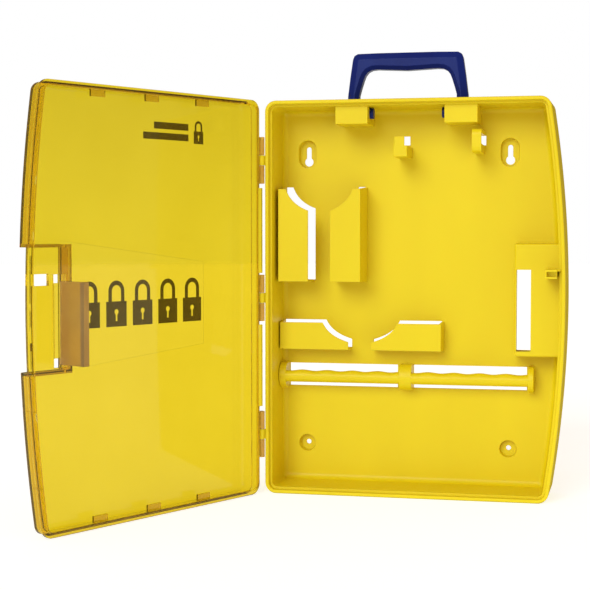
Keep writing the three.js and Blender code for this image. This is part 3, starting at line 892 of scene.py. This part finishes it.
def carry_handle():
    """A faceted grip on two legs, with a trunnion on each foot."""
    _, high = extent("carry_handle")
    centre, depth, height = handle_pivot
    loop, outside_count = handle_loop(centre, high[2])
    bevels = zip(offset_loop(loop, OUTER_BEVEL), offset_loop(loop, INNER_BEVEL))
    ridge = [outside if i < outside_count else inside for i, (outside, inside) in enumerate(bevels)]
    front, back = depth - HANDLE_HALF_DEPTH, depth + HANDLE_HALF_DEPTH
    grip = loft([at_depth(ridge, front), at_depth(loop, front + EDGE_FALL),
                 at_depth(loop, back - EDGE_FALL), at_depth(ridge, back)])
    neck_half_width, neck_half_depth, neck_top = 5.3, 6.3, 395
    for side in (-1, 1):
        foot = centre + side * LEG_CENTRE
        neck = block(foot - neck_half_width, foot + neck_half_width,
                     depth - neck_half_depth, depth + neck_half_depth, height - 3, neck_top)
        hub = rod("x", 6.4, (foot - 5.4, depth, height), 10.8)
        start = foot + 5 if side < 0 else foot - 20
        trunnion = rod("x", 5.4, (start, depth, height), 15)
        grip = join(grip, neck, hub, trunnion)
    grip = soften(grip, 0.2, 3, 20)
    moulding("handle_moulding", grip, STATION, "handle", "blue_plastic", BLUE, "carry_handle")


# ---------------------------------------------------------------------------------------------
# Door, drawn closed
# ---------------------------------------------------------------------------------------------


def door_round():
    """The rings (inset, hinge-side inset, depth) that carry the door's wall round into its face."""
    steps = 8
    rings = []
    for i in range(steps + 1):
        t = math.pi / 2 * i / steps
        rings.append((DOOR_FLANGE + FACE_ROUND * (1 - math.cos(t)),
                      DOOR_WALL + HINGE_ROUND - HINGE_ROUND * math.cos(t),
                      DOOR_FACE + FACE_ROUND * (1 - math.sin(t))))
    return rings


def inner_round():
    """The rings that carry the door's face, on its inside, round into its wall."""
    steps = 6
    inside = DOOR_FACE + DOOR_SKIN
    rings = []
    for i in range(steps + 1):
        t = math.pi / 2 * i / steps
        rings.append((DOOR_RIM + INNER_ROUND - INNER_ROUND * math.sin(t),
                      DOOR_HINGE_RIM + HINGE_ROUND - HINGE_ROUND * math.sin(t),
                      inside + INNER_ROUND - INNER_ROUND * math.cos(t)))
    return rings


def door_loft(profile):
    """A solid from a profile of (inset, hinge-side inset, depth)."""
    return loft([case_ring(inset, depth, hinge) for inset, hinge, depth in profile])


def door_shell():
    """Face, wall and flange, from a profile of (inset, hinge-side inset, depth)."""
    return door_loft([
        *inner_round(),
        (DOOR_RIM, DOOR_HINGE_RIM, DOOR_LIP - 0.3),
        (DOOR_RIM - 0.3, DOOR_HINGE_RIM - 0.3, DOOR_LIP),
        (0.5, 0.5, DOOR_LIP),
        (0.15, 0.15, DOOR_LIP - 0.15),
        (0, 0, DOOR_LIP - 0.5),
        (0, 0, DOOR_LIP - 2.5),
        (0.15, 0.15, DOOR_LIP - 2.85),
        (0.5, 0.5, DOOR_LIP - FLANGE_THICKNESS),
        (DOOR_FLANGE, DOOR_WALL - 0.4, DOOR_LIP - FLANGE_THICKNESS),
        (DOOR_FLANGE, DOOR_WALL, DOOR_LIP - 3.4),
        *door_round(),
    ])


def locating_rib():
    """The rib behind the flange that fits inside the tray's lip."""
    outer = case_slab(RIM_LIP + 0.4, DOOR_LIP - 1, DOOR_LIP + 2)
    return cut(outer, case_slab(DOOR_RIM + 0.3, DOOR_LIP - 2, DOOR_LIP + 3))


def recess_walls():
    """Solid material round the finger recess, kept inside the door's own outline."""
    walls = block(RECESS_LEFT - DOOR_SKIN, PAST_FREE_SIDE, DOOR_FACE, DOOR_LIP,
                  RECESS_BOTTOM - DOOR_SKIN, RECESS_TOP + DOOR_SKIN)
    profile = [(DOOR_FLANGE, DOOR_WALL, DOOR_LIP + 1)] + door_round()
    return common(walls, door_loft([(inset + 0.01, hinge, depth) for inset, hinge, depth in profile]))


def insert_catches():
    """Small tabs inside the top and bottom walls that hold a paper insert against the door."""
    front, back = DOOR_LIP - 4.5, DOOR_LIP - 2.5
    tabs = []
    for x in CATCH_CENTRES:
        left, right = x - CATCH_HALF_WIDTH, x + CATCH_HALF_WIDTH
        tabs.append(block(left, right, front, back, CASE_HEIGHT - 11, CASE_HEIGHT - 4))
        tabs.append(block(left, right, front, back, 4, 11))
    return tabs


def wall_ribs():
    """Hair-thin ribs across the inside of the free wall."""
    ribs = []
    for height in RIB_HEIGHTS:
        wall = CASE_WIDTH + SIDE_BULGE - sag(height) - DOOR_RIM
        ribs.append(block(wall - 1.6, wall + 1, DOOR_FACE + 4, DOOR_LIP - 0.5,
                          height - RIB_HALF_WIDTH, height + RIB_HALF_WIDTH))
    return ribs


def filler_strips():
    """Strips of the flange that reach towards the tray between the hinges."""
    return [block(STRIP_EDGE, 0.5, DOOR_LIP - 2.5, DOOR_LIP, low, high) for low, high in STRIP_SPANS]


def recess_opening(left, right, bottom, top):
    """An opening through the floor of the finger recess."""
    return block(left, right, DOOR_FACE, DOOR_LIP + 3, bottom, top)


def door_cover():
    additions = [locating_rib(), recess_walls(), *insert_catches(), *wall_ribs(), *filler_strips()]
    door = join(door_shell(), *additions)
    cavity = block(RECESS_LEFT, PAST_FREE_SIDE, DOOR_FACE - 1, DOOR_LIP - 3.05, RECESS_BOTTOM, RECESS_TOP)
    label_panel = slab(LABEL_PANEL, DOOR_FACE - 1, DOOR_FACE + LABEL_DEPTH)
    door = cut(door, cavity, recess_opening(*STAPLE_WINDOW), recess_opening(*BLADE_SLOT), label_panel)
    amber("door_moulding", soften(door, 0.25, 2, 50), "door", "door_cover")


def latch_blade():
    """A thin web that flexes, and a stiff blade with a barb at its tip."""
    low, high = extent("latch_blade", DOOR)
    web = block(WEB_LEFT, WEB_RIGHT, low[1], DOOR_LIP, WEB_BOTTOM, WEB_TOP)
    amber("latch_web_moulding", soften(web, 0.3, 2, 50), "latch")
    blade = block(low[0], BLADE_RIGHT, low[1], high[1], low[2], high[2])
    barb = loft([[(x, depth, z) for x, depth in BARB] for z in (low[2] + 0.3, high[2] - 0.3)])
    latch = soften(join(blade, barb), 0.3, 2, 50)
    amber("latch_blade_moulding", latch, "latch", "latch_blade", material=FROSTED)


# ---------------------------------------------------------------------------------------------
# Hinges
# ---------------------------------------------------------------------------------------------


def barrel(axis, low, high, arm_side):
    """A round barrel with a flat arm to the case's edge, bored for the pin.

    arm_side is 1 for an arm behind the axis, as on the tray, and -1 for one in front, as on the door.
    """
    x, depth = axis
    case_edge = -0.05
    near, far = 0.6, KNUCKLE_RADIUS - 0.1
    tube = rod("z", KNUCKLE_RADIUS, (x, depth, low), high - low)
    if arm_side > 0:
        arm = block(x, case_edge, depth + near, depth + far, low, high)
    else:
        arm = block(x, case_edge, depth - far, depth - near, low, high)
    bore = rod("z", PIN_RADIUS + PIN_CLEARANCE, (x, depth, low - 1), high - low + 2)
    return soften(cut(join(tube, arm), bore), 0.3, 2, 50)


def hinges():
    """Three hinges: a tray barrel between two door barrels, on a steel pin."""
    axis = (door_hinge[0], door_hinge[1])
    for place in ("top", "middle", "bottom"):
        low, high = extent(f"tray_knuckle_{place}")
        yellow(f"tray_knuckle_{place}_moulding", barrel(axis, low[2], high[2], 1), f"tray_knuckle_{place}")
        low, high = extent(f"hinge_pin_{place}")
        pin = soften(rod("z", PIN_RADIUS, (*axis, low[2]), high[2] - low[2]), 0.4, 3, 50)
        moulding(f"hinge_pin_{place}_steel", pin, STATION, "tray", "pin_steel", STEEL, f"hinge_pin_{place}")
        for end in ("upper", "lower"):
            node = f"door_knuckle_{place}_{end}"
            low, high = extent(node, DOOR)
            amber(f"{node}_moulding", barrel(axis, low[2], high[2], -1), "door", node, material=KNUCKLE)


# ---------------------------------------------------------------------------------------------
# Generic pictures printed on the door's outer face
# ---------------------------------------------------------------------------------------------


def padlock_picture(x, z, size, face):
    """A padlock's silhouette: a body with a keyhole, and a shackle."""
    front, back = face - INK_FRONT, face - INK_BACK
    half = size * 0.3
    body = block(x - half, x + half, front, back, z, z + size * 0.55)
    shackle_height = z + size * 0.62
    shackle = cut(slab(stadium(x, shackle_height, half * 0.78, size * 0.3), front, back),
                  slab(stadium(x, shackle_height, half * 0.45, size * 0.3), front - 1, back + 1))
    slit = size * 0.025
    keyhole = join(rod("y", size * 0.06, (x, front - 1, z + size * 0.32), 2),
                   block(x - slit, x + slit, front - 1, back + 1, z + size * 0.12, z + size * 0.3))
    return cut(join(body, shackle), keyhole)


def printed(name, picture):
    """A printed picture on the door."""
    moulding(name, picture, DOOR, "door", "amber_clear", INK)


def printed_pictures():
    """A row of padlocks on the label panel, and an emblem with two bars above it."""
    for i in range(5):
        printed(f"printed_padlock_{i + 1}", padlock_picture(82 + i * 33.0, 178, 42, DOOR_FACE + LABEL_DEPTH))
    printed("printed_emblem", padlock_picture(72, 349, 22, DOOR_FACE))
    for i, height in enumerate((351.0, 361.0)):
        right = 146 - 14 * i
        bar = block(86, right, DOOR_FACE - INK_FRONT, DOOR_FACE - INK_BACK, height, height + 6.5)
        printed(f"printed_bar_{i + 1}", bar)


# ---------------------------------------------------------------------------------------------
# Stage
# ---------------------------------------------------------------------------------------------


def camera():
    """A long lens in front of the case, a little to its right, looking almost level."""
    data = bpy.data.cameras.new("camera")
    data.lens = 86.25
    data.sensor_width = 36.0
    data.clip_start, data.clip_end = 0.05, 60.0
    eye = bpy.data.objects.new("camera", data)
    eye.location = (0.1880, -1.4146, 0.2686)
    eye.rotation_euler = (math.radians(87.26), 0.0, math.radians(12.15))
    bpy.context.scene.collection.objects.link(eye)
    bpy.context.scene.camera = eye


def sun(name, direction, power, softness, colour):
    """Light from far away. direction points from the object to the light."""
    data = bpy.data.lights.new(name, "SUN")
    data.energy = power
    data.angle = math.radians(softness)
    data.color = colour
    light = bpy.data.objects.new(name, data)
    light.rotation_euler = Vector(direction).to_track_quat("Z", "Y").to_euler()
    bpy.context.scene.collection.objects.link(light)


WHITE = (1.0, 1.0, 1.0)
FILL = (0.62, 0.46, 0.33)
REFLECTED = (0.42, 0.37, 0.26)
SURROUND = (
    ("Is Reflection Ray", REFLECTED),
    ("Is Diffuse Ray", FILL),
    ("Is Transmission Ray", None),
    ("Is Camera Ray", WHITE),
)


def faded_white(tree):
    """White that fades a little above the horizon, as the panes see it."""
    height = tree.nodes.new("ShaderNodeSeparateXYZ")
    place = tree.nodes.new("ShaderNodeTexCoord")
    tree.links.new(place.outputs["Generated"], height.inputs["Vector"])
    fade = tree.nodes.new("ShaderNodeMapRange")
    fade.inputs["From Min"].default_value = 0.0
    fade.inputs["From Max"].default_value = 0.15
    fade.inputs["To Min"].default_value = 1.0
    fade.inputs["To Max"].default_value = 0.80
    tree.links.new(height.outputs["Z"], fade.inputs["Value"])
    return fade.outputs["Result"]


def studio():
    """A white surround with one soft key light. Each kind of ray sees the surround in its own colour.

    A diffuse bounce counts as a reflection too, so reflections are chosen first and diffuse after them.
    Light taken straight from the surround counts as none of these, and gets the fill colour.
    """
    world = bpy.data.worlds.new("studio")
    world.use_nodes = True
    tree = world.node_tree
    surround = tree.nodes["Background"]
    surround.inputs["Strength"].default_value = 1.0
    path = tree.nodes.new("ShaderNodeLightPath")
    colour = None
    for ray, light in SURROUND:
        choice = tree.nodes.new("ShaderNodeMix")
        choice.data_type = "RGBA"
        below, above = choice.inputs[MIX_A], choice.inputs[MIX_B]
        tree.links.new(path.outputs[ray], choice.inputs["Factor"])
        if colour:
            tree.links.new(colour, below)
        else:
            below.default_value = (*FILL, 1)
        if light:
            above.default_value = (*light, 1)
        else:
            tree.links.new(faded_white(tree), above)
        colour = choice.outputs[MIX_RESULT]
    tree.links.new(colour, surround.inputs["Color"])
    bpy.context.scene.world = world
    bpy.context.scene.view_settings.view_transform = "Standard"
    sun("key", direction=(-0.22, -0.85, 0.42), power=1.63, softness=32.0, colour=(0.88, 1.0, 1.08))


def floor():
    """A pale floor that glows a little, like a lit sweep of paper."""
    n = Nodes("pale_floor")
    n.link(n.tint(n.noise(1.5), (0.50, 0.56, 0.60), (0.52, 0.58, 0.62)), n.shader.inputs["Base Color"])
    n.set(Roughness=0.9, Specular_IOR_Level=0.1, Emission_Color=(1, 1, 1, 1), Emission_Strength=0.68)
    reach, below_case, thickness = 9, 0.0002, 0.01
    ring = [(reach * x, reach * y, -below_case) for x, y in arc((0, 0), 1, 0, 357.5, 143)]
    ground = loft([ring, [(x, y, z - thickness) for x, y, z in ring]])
    ground.name = "studio_floor"
    ground.data.materials.append(n.material)


rear_tray()
pockets()
tool_hook()
tag_loop()
for side in ("left", "right"):
    rail_bar(f"rail_bar_{side}")
for place in ("left", "centre", "right"):
    rail_post(f"rail_post_{place}")
handle_socket("handle_socket_left", -1)
handle_socket("handle_socket_right", 1)
latch_box()
padlock_staple()
carry_handle()
door_cover()
latch_blade()
hinges()
printed_pictures()
camera()
studio()
floor()
